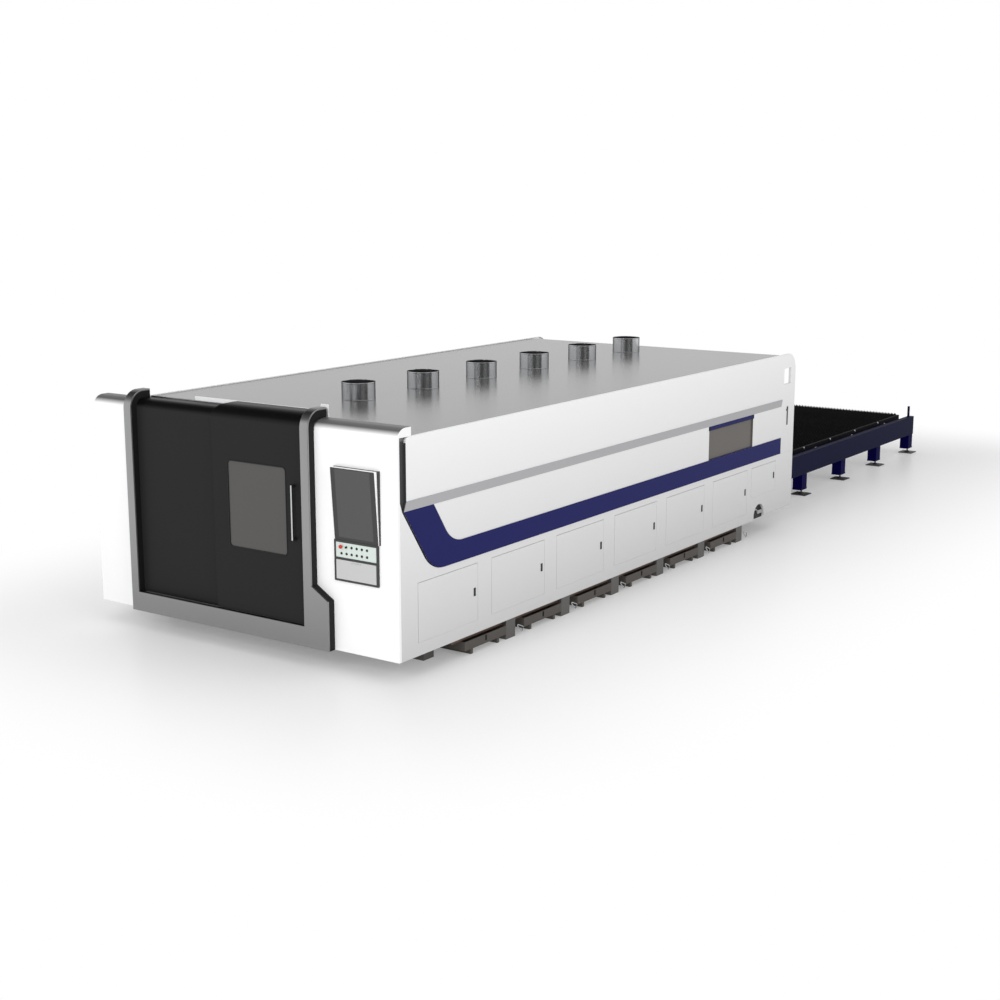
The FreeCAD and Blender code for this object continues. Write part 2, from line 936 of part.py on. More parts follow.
header = block(
    (opening_left, opening_right),
    (header_front, header_front + header_depth),
    (roof_top, hook_centre_z + fixed_radius - leaf_thickness),
)
rail_seat = hook_centre_z + fixed_radius - leaf_thickness
top_rail = block(
    (opening_left, opening_right),
    (top_rail_back - top_rail_width, top_rail_back),
    (rail_seat, hook_centre_z + moving_radius - leaf_thickness - seat_gap),
)
cover_depth = (header_front + header_depth - header_cover_width, header_front + header_depth)
cover_heights = (rail_seat, hook_centre_z + moving_radius)
header_cover = block((header_cover_left, opening_right), cover_depth, cover_heights)
header_end = block((opening_right, header_end_right), cover_depth, (rail_seat, header_end_top))
rail_middle = moving_face + leaf_thickness / 2
floor_rail = block(
    (opening_left, opening_right),
    (rail_middle - door_rail_width / 2, rail_middle + door_rail_width / 2),
    (sill_top, rail_top),
)
save("door_rails", group([joined([header, top_rail, header_cover, header_end]), floor_rail]))

# ================================================================ roof, collars and rear wall
roof = block((-cladding_back, cladding_back), (panel_thickness, rear_wall_face), (wall_top, roof_top))
duct_bore_length = roof_thickness + duct_height
collars = []
for index in range(duct_count):
    centre = Vector(0, duct_first + duct_pitch * index, roof_top)
    bore_start = centre - upward * roof_thickness
    bore = prism(duct_bore_sides, duct_radius - duct_wall, bore_start, upward * duct_bore_length)
    collars.append(Part.makeCylinder(duct_radius, duct_height, centre).cut(bore))
    roof = roof.cut(bore)
save("roof_panel", roof)
save("exhaust_collars", group(collars))

rear_wall = block(
    (-side_inner, side_inner), (rear_wall_face - panel_thickness, rear_wall_face), (skirt_height, wall_top)
)
pallet_door = block(
    (-track_half_gap, track_half_gap),
    (rear_wall_face - panel_thickness, rear_wall_face),
    (lower_pallet_base - cross_tube_lift, upper_pallet_base + pallet_cross_height + slat_height + 90),
)
save("rear_wall", rear_wall.cut(pallet_door))

# ================================================================ control console
console_limits = (console_left, console_right)
opening_limits = (console_left + bezel_border, console_right - bezel_border)
flap_bottom = console_bottom + bezel_border
flap_top = keypad_bottom - bezel_border
keypad_top = keypad_bottom + keypad_height


def slanted(x, back, front):
    """Leaning plate between two faces, each given by its distance from the panel at foot and top."""
    corners = [
        (-front[0], console_split, 0),
        (-front[1], console_top, 0),
        (-back[1], console_top, 0),
        (-back[0], console_split, 0),
    ]
    return slab(corners, side_view(x[0]), right * (x[1] - x[0]))


bezel = block(console_limits, (-bezel_depth, 0), (console_bottom, console_split))
bezel = bezel.cut(block(opening_limits, (-bezel_depth, 0), (keypad_bottom, keypad_top)))
bezel = bezel.cut(block(opening_limits, (-bezel_depth, 0), (flap_bottom, flap_top)))
monitor_limits = (console_left + monitor_shift, console_right + monitor_shift)
monitor_back = (monitor_back_foot, monitor_back_lean)
monitor_front = (monitor_foot, monitor_lean)
screen_front = (monitor_foot + screen_depth, monitor_lean + screen_depth)
wedge = slanted((monitor_limits[0], monitor_limits[1] + wedge_reach), (0, 0), monitor_back)
save("console_bezel", joined([bezel, wedge]))
save("console_monitor", slanted(monitor_limits, monitor_back, monitor_front))
save("console_screen", slanted(monitor_limits, monitor_front, screen_front))


def button_place(column, row_height):
    return opening_limits[0] + button_first + button_pitch * column, keypad_bottom + row_height


stop_x, stop_z = button_place(0, button_row_high)
key_x, key_z = button_place(1, button_row_high)
keypad = block(opening_limits, (-keypad_depth, 0), (keypad_bottom, keypad_top))
stem_hole = prism(knob_sides, stop_stem_radius + seat_gap, Vector(stop_x, 0, stop_z), forward * keypad_depth)
button_places = [button_place(column, button_row_low) for column in range(button_columns)]
button_places += [button_place(column, button_row_high) for column in range(2, button_columns)]
buttons = [
    prism(button_sides, button_radius, Vector(x, -keypad_depth, z), forward * button_height)
    for x, z in button_places
]
save("console_keypad", joined([keypad.cut(stem_hole)] + buttons))

stem_start = Vector(stop_x, -keypad_depth / 2, stop_z)
stem_length = keypad_depth / 2 + stop_travel * 2
stem = prism(knob_sides, stop_stem_radius, stem_start, forward * stem_length)
cap_start = stem_start + forward * stem_length
cap = prism(knob_sides, stop_radius, cap_start, forward * stop_cap)
save("emergency_stop", joined([stem, cap]))

key_face = -keypad_depth - seat_gap - key_height
key_body = prism(knob_sides, key_radius, Vector(key_x, -keypad_depth - seat_gap, key_z), forward * key_height)
key_grip = block(
    (key_x - key_grip_width / 2, key_x + key_grip_width / 2),
    (key_face - key_height, key_face),
    (key_z - key_radius, key_z + key_radius),
)
save("key_switch", joined([key_body, key_grip]))

flap = block(
    (opening_limits[0] + flap_gap, opening_limits[1] - flap_gap),
    (-bezel_depth, flap_thickness - bezel_depth),
    (flap_bottom + seat_gap, flap_top - flap_gap),
)
save("keyboard_flap", flap)

# ================================================================ exchange table
table_beam_outer = track_half_gap + table_beam_width
table_span = (rear_wall_face, table_end)
table_beam = block((track_half_gap, table_beam_outer), table_span, (table_beam_bottom, table_beam_top))
table_hollow = block(
    (track_half_gap + table_beam_wall, table_beam_outer - table_beam_wall),
    (rear_wall_face + table_beam_wall, table_end - table_beam_wall),
    (table_beam_bottom + table_beam_wall, table_beam_top - table_beam_wall),
)
table_beam = table_beam.cut(table_hollow)
save("table_beams", group([table_beam, other_side(table_beam)]))


def leg(end):
    """Square leg with a foot that flares out on the two sides along the beam."""
    start = end - leg_length
    x = (table_beam_outer - leg_width, table_beam_outer)
    corners = [
        (start, table_beam_bottom, 0),
        (start, leg_bottom + leg_flare_height, 0),
        (start - leg_flare, leg_bottom, 0),
        (end + leg_flare, leg_bottom, 0),
        (end, leg_bottom + leg_flare_height, 0),
        (end, table_beam_bottom, 0),
    ]
    return slab(corners, side_view(x[0]), right * leg_width)


leg_ends = [table_end - leg_end_inset - leg_pitch * index for index in range(leg_count)]
legs = []
for end in leg_ends:
    post = leg(end)
    tie_y = end - leg_length / 2
    tie = block(
        (leg_width - table_beam_outer, table_beam_outer - leg_width),
        (tie_y - table_cross_width / 2, tie_y + table_cross_width / 2),
        (table_beam_bottom - table_cross_height, table_beam_bottom),
    )
    legs.append(joined([post, other_side(post), tie]))
save("table_legs", group(legs))


def levelling_foot(end):
    """Pad, bell and bolt under one leg."""
    centre = Vector(table_beam_outer - foot_inset, end - leg_length / 2, 0)
    pad = block(
        (centre.x - foot_pad / 2, centre.x + foot_pad / 2),
        (centre.y - foot_pad / 2, centre.y + foot_pad / 2),
        (0, foot_pad_height),
    )
    low = bell_width / 2
    high = foot_bolt_width / 2
    bell_top = foot_pad_height + bell_height
    bell = Part.makeWedge(-low, foot_pad_height, -low, -high, -high, low, bell_top, low, high, high)
    bell.rotate(Vector(0, 0, 0), right, 90)
    bell.translate(centre)
    bolt = block((-high, high), (-high, high), (bell_top, leg_bottom))
    bolt.translate(centre)
    return joined([pad, bell, bolt])


right_feet = [levelling_foot(end) for end in leg_ends]
save("table_feet", group(right_feet + [other_side(foot) for foot in right_feet]))

post_place = Vector(track_half_gap + table_beam_width / 2, table_end - post_inset_end, table_beam_top)
save("table_end_post", prism(knob_sides, post_radius, post_place, upward * post_height))
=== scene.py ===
import bpy
import bmesh
import json
import math
from mathutils import Matrix, Vector

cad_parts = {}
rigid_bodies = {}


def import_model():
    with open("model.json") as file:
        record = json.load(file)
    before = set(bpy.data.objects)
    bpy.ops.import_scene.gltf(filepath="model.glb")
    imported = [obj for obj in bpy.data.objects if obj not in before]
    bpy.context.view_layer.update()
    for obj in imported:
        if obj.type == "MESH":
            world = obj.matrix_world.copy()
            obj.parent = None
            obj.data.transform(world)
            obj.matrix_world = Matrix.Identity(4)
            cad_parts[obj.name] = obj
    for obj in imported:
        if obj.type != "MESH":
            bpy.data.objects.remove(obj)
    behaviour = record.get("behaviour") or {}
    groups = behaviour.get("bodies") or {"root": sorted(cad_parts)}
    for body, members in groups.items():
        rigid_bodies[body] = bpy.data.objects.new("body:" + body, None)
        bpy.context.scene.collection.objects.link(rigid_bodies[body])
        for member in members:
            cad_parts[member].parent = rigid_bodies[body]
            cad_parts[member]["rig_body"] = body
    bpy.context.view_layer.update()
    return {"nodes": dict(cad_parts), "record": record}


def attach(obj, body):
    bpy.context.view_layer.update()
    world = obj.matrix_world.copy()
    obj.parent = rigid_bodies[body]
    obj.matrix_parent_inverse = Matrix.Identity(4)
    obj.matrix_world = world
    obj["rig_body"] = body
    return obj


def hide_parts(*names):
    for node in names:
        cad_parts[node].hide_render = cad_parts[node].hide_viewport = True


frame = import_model()

MIDDLE = 7.965                    # metres from the drawing's front plane to the frame's origin

# The drawing's measures, in millimetres.
SKIN = 2150                       # outer face of the side panels
ROOF = 2470                       # top of the roof panel
COLLARS = [2030 + 1218 * k for k in range(6)]
FIRST_PLINTH, PLINTH_PITCH, HALF_PLINTH = 1980, 1126, 90
# Each service door's start, width, foot and the lift of its latch.
SERVICE_DOORS = [(310 + 1291 * k, 1040, 355, 0) for k in range(6)] + [(7932, 790, 563, 104)]
PALLET_LENGTH, PALLET_HALF_WIDTH, PALLET_BEAM, CROSS_TUBE = 6050, 1340, 40, 60
SLAT_COUNT, TEETH_PER_SLAT = 60, 46
SLAT_HALF_LENGTH = 1339.7
TABLE_BEAM_MIDDLE, TABLE_END, LEG_PITCH, FOOT_HALF = 1480, 16050, 1575, 125

BODY_OF = {node: o["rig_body"] for node, o in frame["nodes"].items()}
SLOT_OF = {part["node"]: part["material_slot"] for part in frame["record"]["subparts"]}
scene = bpy.context.scene
scene.view_settings.view_transform = "Standard"


def at(x, y, z):
    """A point given in the drawing's millimetres, in the frame's metres."""
    return Vector((x / 1000, y / 1000 - MIDDLE, z / 1000))


# ---------------------------------------------------------------- camera
camera = bpy.data.objects.new("camera", bpy.data.cameras.new("camera"))
scene.collection.objects.link(camera)
camera.location = (11.437, -19.705, 4.955)
camera.rotation_euler = (math.radians(90 - 11.63), 0, math.radians(34.53))
camera.data.lens = 56.52
camera.data.sensor_width = 36
scene.camera = camera


# ---------------------------------------------------------------- materials
def shader(name):
    made = bpy.data.materials.new(name)
    made.use_nodes = True
    tree = made.node_tree
    return made, tree, tree.nodes["Principled BSDF"]


def noise(tree, scale, stretch=(1, 1, 1), detail=3, rough=0.5):
    """Noise in the object's own coordinates, stretched along the axes."""
    place = tree.nodes.new("ShaderNodeTexCoord")
    mapping = tree.nodes.new("ShaderNodeMapping")
    mapping.inputs["Scale"].default_value = stretch
    texture = tree.nodes.new("ShaderNodeTexNoise")
    texture.inputs["Scale"].default_value = scale
    texture.inputs["Detail"].default_value = detail
    texture.inputs["Roughness"].default_value = rough
    tree.links.new(place.outputs["Object"], mapping.inputs["Vector"])
    tree.links.new(mapping.outputs["Vector"], texture.inputs["Vector"])
    return texture.outputs["Fac"]


def mapped(tree, value, span, onto=(0.0, 1.0), interpolation="LINEAR"):
    """Maps a span of a value onto another span."""
    node = tree.nodes.new("ShaderNodeMapRange")
    node.interpolation_type = interpolation
    for socket, number in zip(("From Min", "From Max", "To Min", "To Max"), (*span, *onto)):
        node.inputs[socket].default_value = number
    tree.links.new(value, node.inputs["Value"])
    return node.outputs["Result"]


def mixed(tree, factor, first, second):
    """Mixes two colours; the first is a colour or a socket."""
    mix = tree.nodes.new("ShaderNodeMix")
    mix.data_type = "RGBA"
    mix.inputs["B"].default_value = (*second, 1)
    tree.links.new(factor, mix.inputs["Factor"])
    if isinstance(first, bpy.types.NodeSocket):
        tree.links.new(first, mix.inputs["A"])
    else:
        mix.inputs["A"].default_value = (*first, 1)
    return mix.outputs["Result"]


def bumped(tree, bsdf, height, strength, distance):
    bump = tree.nodes.new("ShaderNodeBump")
    bump.inputs["Strength"].default_value = strength
    bump.inputs["Distance"].default_value = distance
    tree.links.new(height, bump.inputs["Height"])
    tree.links.new(bump.outputs["Normal"], bsdf.inputs["Normal"])


def risen(tree, source, low, high):
    """How far the Z of a position or a normal has come from low to high."""
    apart = tree.nodes.new("ShaderNodeSeparateXYZ")
    tree.links.new(source, apart.inputs["Vector"])
    return mapped(tree, apart.outputs["Z"], (low, high))


NOISE_MIDDLE = (0.3, 0.7)         # the span that holds most of a noise's values
GRAIN_DEPTH = 0.0006              # metres


def finish(name, colour, rough, metal=0.0, tone=0.03, rough_span=0.05, grain=900, bump=0.05, specular=0.5,
           coat=0.0, stretch=(1, 1, 1), blotch=1.3, upper=None, above=None, edge=1.0):
    """Painted, plastic or metal finish: broad tone changes, fine roughness and a fine surface grain.

    upper is (colour, low, high) for a change with height in metres, above the same for faces that turn upwards, by
    the
    Z of their normal, a painted shade and painted dark reflection on tops and bends. edge is how much a metal still
    reflects at a glancing angle.
    """
    made, tree, bsdf = shader(name)
    bsdf.inputs["Metallic"].default_value = metal
    bsdf.inputs["Specular IOR Level"].default_value = specular
    bsdf.inputs["Specular Tint"].default_value = (edge, edge, edge, 1)
    bsdf.inputs["Coat Weight"].default_value = coat
    bsdf.inputs["Coat Roughness"].default_value = 0.08
    broad = noise(tree, blotch, detail=4)
    dark = [c * (1 - tone) for c in colour]
    light = [min(1, c * (1 + tone)) for c in colour]
    paint = mixed(tree, broad, dark, light)
    # Colour that changes with height: painted light and shade on the cladding, skirt and portal, and a brown upper
    # band on the drawers.
    if upper:
        place = tree.nodes.new("ShaderNodeTexCoord")
        paint = mixed(tree, risen(tree, place.outputs["Object"], *upper[1:]), paint, upper[0])
    # Faces that turn upwards take a darker colour: painted shade and painted dark reflection on tops and bends.
    if above:
        face = tree.nodes.new("ShaderNodeNewGeometry")
        paint = mixed(tree, risen(tree, face.outputs["Normal"], *above[1:]), paint, above[0])
    tree.links.new(paint, bsdf.inputs["Base Color"])
    fine = noise(tree, grain / 12, stretch, detail=5, rough=0.6)
    roughness = mapped(tree, fine, NOISE_MIDDLE, (rough - rough_span, rough + rough_span))
    tree.links.new(roughness, bsdf.inputs["Roughness"])
    bumped(tree, bsdf, noise(tree, grain, stretch, detail=2), bump, GRAIN_DEPTH)
    return made


def linear(*levels):
    """Colour whose levels are given as 0 to 255 on the screen."""
    return [(v / 255 / 12.92) if v / 255 <= 0.04045 else ((v / 255 + 0.055) / 1.055) ** 2.4 for v in levels]


FINISHES = {
    # Tops and bends of the white panels are painted dark grey by the Z of their normal: a painted reflection of a
    # dark surround.
    "panel_white": finish("panel_white", linear(249, 249, 250), 0.35, tone=0.006, rough_span=0.01, specular=0.1,
                          bump=0.003, above=(linear(98, 98, 99), 0.42, 0.8)),
    # Cladding and skirt grow lighter towards the top: painted light that stands in for the lamps falling off
    # towards the floor.
    "cladding_white": finish("cladding_white", linear(208, 208, 208), 0.42, tone=0.01, rough_span=0.02,
                             specular=0.2, bump=0.01, upper=(linear(243, 243, 244), 0.25, 2.45)),
    "skirt_white": finish("skirt_white", linear(208, 208, 208), 0.42, tone=0.01, rough_span=0.02,
                          specular=0.2, bump=0.01, upper=(linear(243, 243, 244), 0.25, 2.45)),
    "roof_grey": finish("roof_grey", linear(116, 116, 116), 0.22, metal=0.55, tone=0.01, rough_span=0.006,
                        specular=0.15, bump=0.002),
    # The silver grows lighter higher up and is painted dark on faces that turn upwards: painted reflection and
    # painted shade.
    "portal_silver": finish("portal_silver", linear(138, 138, 139), 0.3, metal=0.7, tone=0.01,
                            rough_span=0.012, stretch=(1, 1, 0.04), bump=0.003,
                            upper=(linear(154, 154, 155), 0.3, 1.3), above=(linear(44, 44, 45), 0.3, 0.85)),
    # Faces of the black trim that turn upwards are painted darker: painted shade.
    "portal_black": finish("portal_black", linear(30, 30, 31), 0.4, specular=0.1, rough_span=0.02, bump=0.01,
                           above=(linear(16, 16, 17), 0.2, 0.7)),
    # Tops and curved bends of the door are painted darker by the Z of their normal: painted shade.
    "door_black": finish("door_black", linear(40, 40, 41), 0.36, tone=0.04, rough_span=0.015, specular=0.05,
                         bump=0.003, above=(linear(12, 12, 13), 0.05, 0.45)),
    "door_glass": finish("door_glass", linear(80, 79, 77), 0.14, tone=0.03, rough_span=0.02, specular=0.25,
                         bump=0.004),
    "bright_steel": finish("bright_steel", linear(208, 209, 211), 0.2, metal=1.0, stretch=(1, 1, 0.03),
                           rough_span=0.01, bump=0.001, edge=0.1),
    "console_grey": finish("console_grey", linear(66, 66, 67), 0.4, specular=0.15, rough_span=0.02, bump=0.01),
    "monitor_white": finish("monitor_white", linear(244, 244, 245), 0.3, coat=0.2, tone=0.01, rough_span=0.01,
                            bump=0.005),
    "screen_dark": finish("screen_dark", linear(82, 82, 83), 0.22, tone=0.03, rough_span=0.02, specular=0.15,
                          bump=0.004),
    "keypad_white": finish("keypad_white", linear(208, 219, 213), 0.42, tone=0.01, rough_span=0.02, bump=0.01),
    "stop_red": finish("stop_red", linear(205, 28, 24), 0.22, tone=0.03),
    "knob_black": finish("knob_black", linear(26, 26, 27), 0.4),
    "flap_grey": finish("flap_grey", linear(193, 193, 194), 0.36, tone=0.015, rough_span=0.02, bump=0.01),
    "stripe_grey": finish("stripe_grey", linear(171, 171, 173), 0.4, tone=0.012, rough_span=0.02, specular=0.2,
                          bump=0.01),
    "band_navy": finish("band_navy", linear(37, 39, 94), 0.4, tone=0.03, specular=0.03, rough_span=0.02, bump=0.01),
    "window_glass": finish("window_glass", linear(104, 100, 96), 0.16, tone=0.03, rough_span=0.02, specular=0.08,
                           bump=0.003),
    "trim_black": finish("trim_black", linear(34, 34, 36), 0.42, specular=0.15, rough_span=0.02, bump=0.02),
    "bed_grey": finish("bed_grey", linear(86, 84, 81), 0.5, tone=0.07, bump=0.06),
    "drawer_grey": finish("drawer_grey", linear(88, 84, 80), 0.5, tone=0.08, specular=0.1, bump=0.06,
                          upper=(linear(98, 80, 72), 0.158, 0.163)),
    "rail_steel": finish("rail_steel", linear(186, 188, 190), 0.26, metal=1.0, stretch=(1, 0.03, 1),
                         rough_span=0.03),
    "gantry_white": finish("gantry_white", linear(226, 227, 229), 0.36, tone=0.02, rough_span=0.02, bump=0.02),
    "head_dark": finish("head_dark", linear(62, 62, 66), 0.34, tone=0.05),
    "table_navy": finish("table_navy", linear(21, 23, 52), 0.5, tone=0.05, specular=0.02, rough_span=0.02,
                         bump=0.02),
    "leg_blue": finish("leg_blue", linear(10, 6, 66), 0.5, tone=0.06, specular=0.02, rough_span=0.02, bump=0.02),
    "slat_steel": finish("slat_steel", linear(24, 24, 26), 0.6, metal=0.1, specular=0.1, tone=0.25, blotch=6,
                         bump=0.1),
    "pallet_steel": finish("pallet_steel", linear(15, 15, 20), 0.55, tone=0.08, specular=0.03, rough_span=0.02,
                           bump=0.03),
    "foot_grey": finish("foot_grey", linear(60, 60, 62), 0.55, tone=0.1, bump=0.15),
}


# ---------------------------------------------------------------- helpers for pieces
def piece(name, shape, slot, body, replaced=(), smooth=30):
    """Object from a bmesh that rides on a body and takes the finish of a slot."""
    mesh = bpy.data.meshes.new(name)
    bmesh.ops.recalc_face_normals(shape, faces=shape.faces)
    shape.to_mesh(mesh)
    shape.free()
    return placed(name, mesh, slot, body, replaced, smooth)


def placed(name, mesh, slot, body, replaced=(), smooth=30):
    mesh.shade_smooth()
    mesh.set_sharp_from_angle(angle=math.radians(smooth))
    made = bpy.data.objects.new(name, mesh)
    scene.collection.objects.link(made)
    made.modifiers.new("even_shading", "WEIGHTED_NORMAL").keep_sharp = True
    made.data.materials.clear()
    made.data.materials.append(FINISHES[slot])
    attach(made, body)
    if replaced:
        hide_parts(*replaced)
    return made


def softened(node, width):
    """The node's own form with its sharp edges rounded, in place of the node."""
    shape = bmesh.new()
    shape.from_mesh(frame["nodes"][node].data)
    bmesh.ops.remove_doubles(shape, verts=shape.verts, dist=1e-5)
    bmesh.ops.dissolve_limit(shape, angle_limit=math.radians(1.5), verts=shape.verts, edges=shape.edges)
    sharp = [e for e in shape.edges if len(e.link_faces) == 2 and e.calc_face_angle() > math.radians(35)]
    bmesh.ops.bevel(shape, geom=sharp, offset=width, segments=2, profile=0.5, affect="EDGES", clamp_overlap=True)
    bmesh.ops.triangulate(shape, faces=[f for f in shape.faces if len(f.verts) > 4])
    return piece(node + "_skin", shape, SLOT_OF[node], BODY_OF[node], [node], smooth=40)


def block(shape, x, y, z, soft=2.0):
    """Adds a block between the limits x, y and z, in millimetres, with rounded edges."""
    corners = [shape.verts.new(at(a, b, c)) for c in z for b in y for a in x]
    faces = [shape.faces.new([corners[i] for i in side]) for side in
             ((0, 2, 3, 1), (4, 5, 7, 6), (0, 1, 5, 4), (2, 6, 7, 3), (0, 4, 6, 2), (1, 3, 7, 5))]
    if soft:
        edges = list({e for f in faces for e in f.edges})
        bmesh.ops.bevel(shape, geom=edges, offset=soft / 1000, segments=2, profile=0.5, affect="EDGES",
                        clamp_overlap=True)


def bar(shape, section, span, axis="y"):
    """Adds a bar along an axis; section holds the points across it, in millimetres."""
    turn = {"x": lambda u, v, w: (w, u, v), "y": lambda u, v, w: (u, w, v), "z": lambda u, v, w: (u, v, w)}[axis]
    skinned(shape, [[shape.verts.new(at(*turn(u, v, w))) for u, v in section] for w in span], False)


def blocks(name, limits, slot, body, replaced=(), soft=2.0):
    shape = bmesh.new()
    for x, y, z in limits:
        block(shape, x, y, z, soft)
    return piece(name, shape, slot, body, replaced)


def skinned(shape, rings, closed):
    """Joins rings of vertices with faces; open ends are capped."""
    steps = len(rings[0])
    for low, high in list(zip(rings, rings[1:])) + ([(rings[-1], rings[0])] if closed else []):
        for step in range(steps):
            following = (step + 1) % steps
            shape.faces.new((low[step], low[following], high[following], high[step]))
    if not closed:
        shape.faces.new(rings[0])
        shape.faces.new(rings[-1])


def turned(shape, profile, centre, along=(0, 0, 1), steps=40, hollow=False):
    """Adds a turned form: profile points (radius, distance along the axis), in millimetres."""
    spin = Vector((0, 0, 1)).rotation_difference(Vector(along)).to_matrix().to_4x4()
    rings = []
    for radius, distance in profile:
        ring = []
        for step in range(steps):
            angle = math.tau * step / steps
            local = spin @ Vector((radius * math.cos(angle), radius * math.sin(angle), distance))
            ring.append(shape.verts.new(at(*(Vector(centre) + local))))
        rings.append(ring)
    skinned(shape, rings, hollow)


def bolt(shape, centre, along, width=14, height=7, sides=6):
    """Adds a bolt head with a chamfered top."""
    turned(shape, [(width * 0.62, 0), (width * 0.62, 1.5), (width / 2, 1.6), (width / 2, height - 1.5),
                   (width / 2 - 2, height)], centre, along, sides)


def wire(shape, points, radius, sides=8, closed=False):
    """Adds a round bar that follows points, given in millimetres."""
    path = [Vector(p) for p in points]
    count = len(path)
    rings = []
    side = None
    for index, point in enumerate(path):
        ahead = path[(index + 1) % count] if closed or index < count - 1 else point
        behind = path[index - 1] if closed or index else point
        along = (ahead - behind).normalized()
        if side is None:
            side = along.orthogonal().normalized()
        side = (side - along * side.dot(along)).normalized()
        other = along.cross(side)
        turns = [math.tau * k / sides for k in range(sides)]
        rings.append([shape.verts.new(at(*(point + side * radius * math.cos(a) + other * radius * math.sin(a))))
                      for a in turns])
    skinned(shape, rings, closed)


def rounded(x, y, radius, steps=8):
    """Loop of a rectangle with rounded corners."""
    loop = []
    for cx, cy, start in ((x[1] - radius, y[1] - radius, 0), (x[0] + radius, y[1] - radius, 90),
                          (x[0] + radius, y[0] + radius, 180), (x[1] - radius, y[0] + radius, 270)):
        for step in range(steps + 1):
            angle = math.radians(start + 90 * step / steps)
            loop.append((cx + radius * math.cos(angle), cy + radius * math.sin(angle)))
    return loop


def outline(corners, steps=14):
    """Loop through corners (u, v, radius), rounded where the radius isn't 0."""
    loop = []
    for index, (u, v, radius) in enumerate(corners):
        here = Vector((u, v))
        if not radius:
            loop.append((u, v))
            continue
        back = (Vector(corners[index - 1][:2]) - here).normalized()
        ahead = (Vector(corners[(index + 1) % len(corners)][:2]) - here).normalized()
        half = back.angle(ahead) / 2
        centre = here + (back + ahead).normalized() * (radius / math.sin(half))
        first = here + back * (radius / math.tan(half)) - centre
        last = here + ahead * (radius / math.tan(half)) - centre
        for step in range(steps + 1):
            loop.append(tuple(centre + (first * (1 - step / steps) + last * (step / steps)).normalized() * radius))
    return loop


def circle(x, y, radius, steps=48):
    return [(x + radius * math.cos(math.tau * k / steps), y + radius * math.sin(math.tau * k / steps))
            for k in range(steps)]


def plate(name, loops, depth, place, slot, body, replaced=(), soft=1.5):
    """Plate with holes from loops in millimetres; place is a matrix that takes (u, v, out) to the frame."""
    curve = bpy.data.curves.new(name, "CURVE")
    curve.dimensions = "2D"
    curve.fill_mode = "BOTH"
    curve.extrude = (depth / 2 - soft) / 1000
    curve.bevel_depth = soft / 1000
    curve.bevel_resolution = 2
    curve.offset = -soft / 1000
    for loop in loops:
        spline = curve.splines.new("POLY")
        spline.points.add(len(loop) - 1)
        for point, (u, v) in zip(spline.points, loop):
            point.co = (u / 1000, v / 1000, 0, 1)
        spline.use_cyclic_u = True
    holder = bpy.data.objects.new(name + "_curve", curve)
    scene.collection.objects.link(holder)
    bpy.context.view_layer.update()
    mesh = bpy.data.meshes.new_from_object(holder.evaluated_get(bpy.context.evaluated_depsgraph_get()))
    bpy.data.objects.remove(holder)
    mesh.transform(place)
    mesh.name = name
    return placed(name, mesh, slot, body, replaced)


def facing_right(x):
    """Drawing plane on the right side: u along Y, v up, outwards to +X, middle of the plate at x."""
    return Matrix(((0, 0, 1, x / 1000), (1, 0, 0, -MIDDLE), (0, 1, 0, 0), (0, 0, 0, 1)))


def facing_front(y):
    """Drawing plane on the front: u along X, v up, outwards to -Y."""
    return Matrix(((1, 0, 0, 0), (0, 0, -1, y / 1000 - MIDDLE), (0, 1, 0, 0), (0, 0, 0, 1)))


def facing_up(z):
    """Drawing plane seen from above: u along X, v along Y."""
    return Matrix(((1, 0, 0, 0), (0, 1, 0, -MIDDLE), (0, 0, 1, z / 1000), (0, 0, 0, 1)))


for node, source in frame["nodes"].items():
    source.data.materials.clear()
    source.data.materials.append(FINISHES[SLOT_OF[node]])

# ---------------------------------------------------------------- floor, light and world
SHADED_HALF = (2.2, 8.0, 0)       # half the ground under the machine, which keeps its shade, in metres
FADE_REACH = 3.6                  # metres around it in which the floor fades to white
LEAST_GLOW = 0.24
FLOOR_SIZE = 400


def vector_step(tree, operation, source, other=None):
    """One step of vector maths on a socket."""
    node = tree.nodes.new("ShaderNodeVectorMath")
    node.operation = operation
    tree.links.new(source, node.inputs[0])
    if other:
        node.inputs[1].default_value = other
    return node.outputs["Value" if operation == "LENGTH" else "Vector"]


shape = bmesh.new()
bmesh.ops.create_grid(shape, x_segments=1, y_segments=1, size=FLOOR_SIZE)
floor_mesh = bpy.data.meshes.new("floor")
shape.to_mesh(floor_mesh)
shape.free()
floor = bpy.data.objects.new("floor", floor_mesh)
scene.collection.objects.link(floor)

made, tree, bsdf = shader("floor")
bsdf.inputs["Base Color"].default_value = (0.95, 0.95, 0.95, 1)
bsdf.inputs["Roughness"].default_value = 0.35
bsdf.inputs["Specular IOR Level"].default_value = 0.25
glow = tree.nodes.new("ShaderNodeEmission")
glow.inputs["Color"].default_value = (1, 1, 1, 1)
glow.inputs["Strength"].default_value = 1.0
place = tree.nodes.new("ShaderNodeTexCoord")
size = vector_step(tree, "ABSOLUTE", place.outputs["Object"])
beyond = vector_step(tree, "SUBTRACT", size, SHADED_HALF)
outside = vector_step(tree, "MAXIMUM", beyond, (0, 0, 0))
reach = vector_step(tree, "LENGTH", outside)
fade = mapped(tree, reach, (0.0, FADE_REACH), (LEAST_GLOW, 1.0), "SMOOTHSTEP")
mix = tree.nodes.new("ShaderNodeMixShader")
tree.links.new(fade, mix.inputs["Fac"])
tree.links.new(bsdf.outputs["BSDF"], mix.inputs[1])
tree.links.new(glow.outputs["Emission"], mix.inputs[2])
tree.links.new(mix.outputs["Shader"], tree.nodes["Material Output"].inputs["Surface"])
floor.data.materials.append(made)

